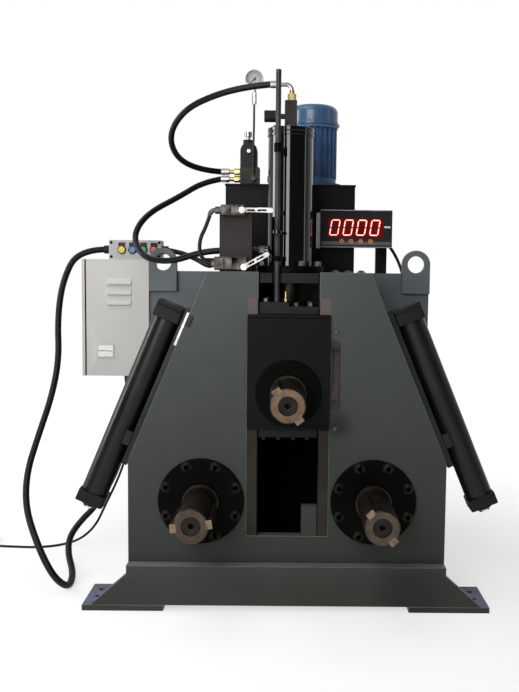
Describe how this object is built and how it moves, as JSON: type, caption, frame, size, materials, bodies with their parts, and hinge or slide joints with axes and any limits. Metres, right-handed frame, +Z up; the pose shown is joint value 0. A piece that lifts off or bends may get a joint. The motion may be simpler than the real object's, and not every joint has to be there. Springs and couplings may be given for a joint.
{
  "type": "hydraulic section bending machine",
  "caption": "Hydraulic three-roll section and ring bender: welded frame, geared lower roll shafts, vertical slide with top roll shaft, main cylinder, oil unit and control cabinet.",
  "frame": {"origin": "on the floor, at the centre of the rectangle of the front feet's four anchor holes, on the machine's middle plane", "axes": "+X to the operator's right, +Y away from the operator, +Z up"},
  "size_m": [2.0845, 1.29, 1.9],
  "materials": {
    "frame_paint": "satin",
    "black_paint": "gloss",
    "black_oxide": "satin",
    "bare_steel": "satin",
    "bright_steel": "polished",
    "zinc_yellow": "satin",
    "cast_steel": "rough",
    "column_paint": "satin",
    "switch_body": "matte",
    "motor_blue": "satin",
    "cabinet_paint": "textured",
    "latch_metal": "satin",
    "inner_plastic": "matte",
    "display_plastic": "matte",
    "station_plastic": "matte",
    "gauge_steel": "satin",
    "needle_black": "matte",
    "yellow_cap": "gloss",
    "blue_cap": "gloss",
    "green_cap": "gloss",
    "red_cap": "gloss",
    "hose_rubber": "satin",
    "conduit_black": "matte",
    "cable_black": "matte",
    "plug_plastic": "satin",
    "fan_plastic": "matte"
  },
  "bodies": {
    "frame": {"base_plinth": "frame_paint", "bearing_housings": "black_oxide", "cabinet_shell": "cabinet_paint", "cable_glands": "switch_body", "cylinder_barrel": "black_paint", "cylinder_heads": "black_paint", "cylinder_plate": "black_paint", "display_cable": "cable_black", "display_case": "display_plastic", "electrical_gear": "inner_plastic", "frame_bolts": "black_oxide", "frame_walls": "frame_paint", "front_plate": "frame_paint", "gear_reducer": "motor_blue", "guide_rails": "bare_steel", "hose_fittings": "zinc_yellow", "hose_lower": "hose_rubber", "hose_upper": "hose_rubber", "limit_switches": "switch_body", "mains_cable": "cable_black", "mains_coil": "cable_black", "mains_plug": "plug_plastic", "oil_tank": "black_paint", "pendant_conduit": "conduit_black", "pressure_gauge": "gauge_steel", "pump_motor": "motor_blue", "rear_plate": "frame_paint", "side_cylinders": "black_paint", "side_rails": "black_paint", "station_box": "station_plastic", "switch_cable": "cable_black", "switch_column": "column_paint", "top_conduit": "conduit_black", "valve_manifold": "cast_steel"},
    "slide": {"slide_block": "black_oxide", "slide_face_plate": "black_paint", "slide_bearing_cover": "black_oxide", "slide_end_plates": "black_oxide", "slide_bolts": "bright_steel", "piston_rod": "bright_steel", "trip_rod": "black_oxide"},
    "top_roll_shaft": {"top_shaft": "bare_steel"},
    "left_roll_shaft": {"left_shaft": "bare_steel", "left_gear": "cast_steel"},
    "right_roll_shaft": {"right_shaft": "bare_steel", "right_gear": "cast_steel"},
    "pinion": {"drive_pinion": "bright_steel"},
    "left_rod": {"left_side_rod": "bright_steel"},
    "right_rod": {"right_side_rod": "bright_steel"},
    "upper_switch_lever": {"upper_lever": "bright_steel"},
    "lower_switch_lever": {"lower_lever": "bright_steel"},
    "door": {"cabinet_door": "cabinet_paint"},
    "latch": {"door_latch": "latch_metal"},
    "knob": {"throttle_knob": "switch_body"},
    "needle": {"gauge_needle": "needle_black"},
    "fan": {"motor_fan": "fan_plastic"},
    "yellow_push": {"yellow_button": "yellow_cap"},
    "blue_push": {"blue_button": "blue_cap"},
    "green_push": {"green_button": "green_cap"},
    "red_push": {"red_button": "red_cap"}
  },
  "joints": [
    {"name": "slide_travel", "type": "slide", "parent": "frame", "child": "slide", "axis": [0, 0, 1], "range_m": [-0.2, 0]},
    {"name": "top_shaft_spin", "type": "hinge", "parent": "slide", "child": "top_roll_shaft", "pos_m": [0, 0, 0.7435], "axis": [0, 1, 0], "continuous": true},
    {"name": "left_shaft_spin", "type": "hinge", "parent": "frame", "child": "left_roll_shaft", "pos_m": [-0.292, 0, 0.371], "axis": [0, 1, 0], "continuous": true},
    {"name": "right_shaft_spin", "type": "hinge", "parent": "frame", "child": "right_roll_shaft", "pos_m": [0.292, 0, 0.371], "axis": [0, 1, 0], "continuous": true},
    {"name": "pinion_spin", "type": "hinge", "parent": "frame", "child": "pinion", "pos_m": [0, 0, 0.371], "axis": [0, 1, 0], "continuous": true},
    {"name": "left_rod_travel", "type": "slide", "parent": "frame", "child": "left_rod", "axis": [-0.3845, 0, -0.9231], "range_m": [0, 0.22]},
    {"name": "right_rod_travel", "type": "slide", "parent": "frame", "child": "right_rod", "axis": [0.3845, 0, -0.9231], "range_m": [0, 0.22]},
    {"name": "upper_lever_swing", "type": "hinge", "parent": "frame", "child": "upper_switch_lever", "pos_m": [-0.16, -0.064, 1.349], "axis": [0, 1, 0], "range_deg": [-30, 30], "stiffness_Nm_per_rad": 2.5},
    {"name": "lower_lever_swing", "type": "hinge", "parent": "frame", "child": "lower_switch_lever", "pos_m": [-0.152, -0.064, 1.161], "axis": [0, 1, 0], "range_deg": [-30, 30], "stiffness_Nm_per_rad": 2.5},
    {"name": "door_swing", "type": "hinge", "parent": "frame", "child": "door", "pos_m": [-0.541, 0.382, 0.96], "axis": [0, 0, 1], "range_deg": [0, 90]},
    {"name": "latch_swing", "type": "hinge", "parent": "door", "child": "latch", "pos_m": [-0.707, 0.3795, 0.857], "axis": [-1, 0, 0], "range_deg": [0, 60], "stiffness_Nm_per_rad": 1},
    {"name": "knob_turn", "type": "hinge", "parent": "frame", "child": "knob", "pos_m": [-0.05, 0.07, 1.678], "axis": [-1, 0, 0], "range_deg": [0, 720]},
    {"name": "needle_turn", "type": "hinge", "parent": "frame", "child": "needle", "pos_m": [-0.14, 0.362, 1.866], "axis": [0, 1, 0], "range_deg": [0, 270], "stiffness_Nm_per_rad": 0.01},
    {"name": "fan_spin", "type": "hinge", "parent": "frame", "child": "fan", "pos_m": [0.088, 0.48, 1.74], "axis": [0, 0, 1], "continuous": true},
    {"name": "yellow_press", "type": "slide", "parent": "frame", "child": "yellow_push", "axis": [0, 1, 0], "range_m": [0, 0.004], "stiffness_N_per_m": 400},
    {"name": "blue_press", "type": "slide", "parent": "frame", "child": "blue_push", "axis": [0, 1, 0], "range_m": [0, 0.004], "stiffness_N_per_m": 400},
    {"name": "green_press", "type": "slide", "parent": "frame", "child": "green_push", "axis": [0, 1, 0], "range_m": [0, 0.004], "stiffness_N_per_m": 400},
    {"name": "red_press", "type": "slide", "parent": "frame", "child": "red_push", "axis": [0, 1, 0], "range_m": [0, 0.004], "stiffness_N_per_m": 400}
  ],
  "couplings": [
    {"joint": "right_shaft_spin", "follows": "left_shaft_spin", "ratio": 1},
    {"joint": "pinion_spin", "follows": "left_shaft_spin", "ratio": -2.0417}
  ]
}
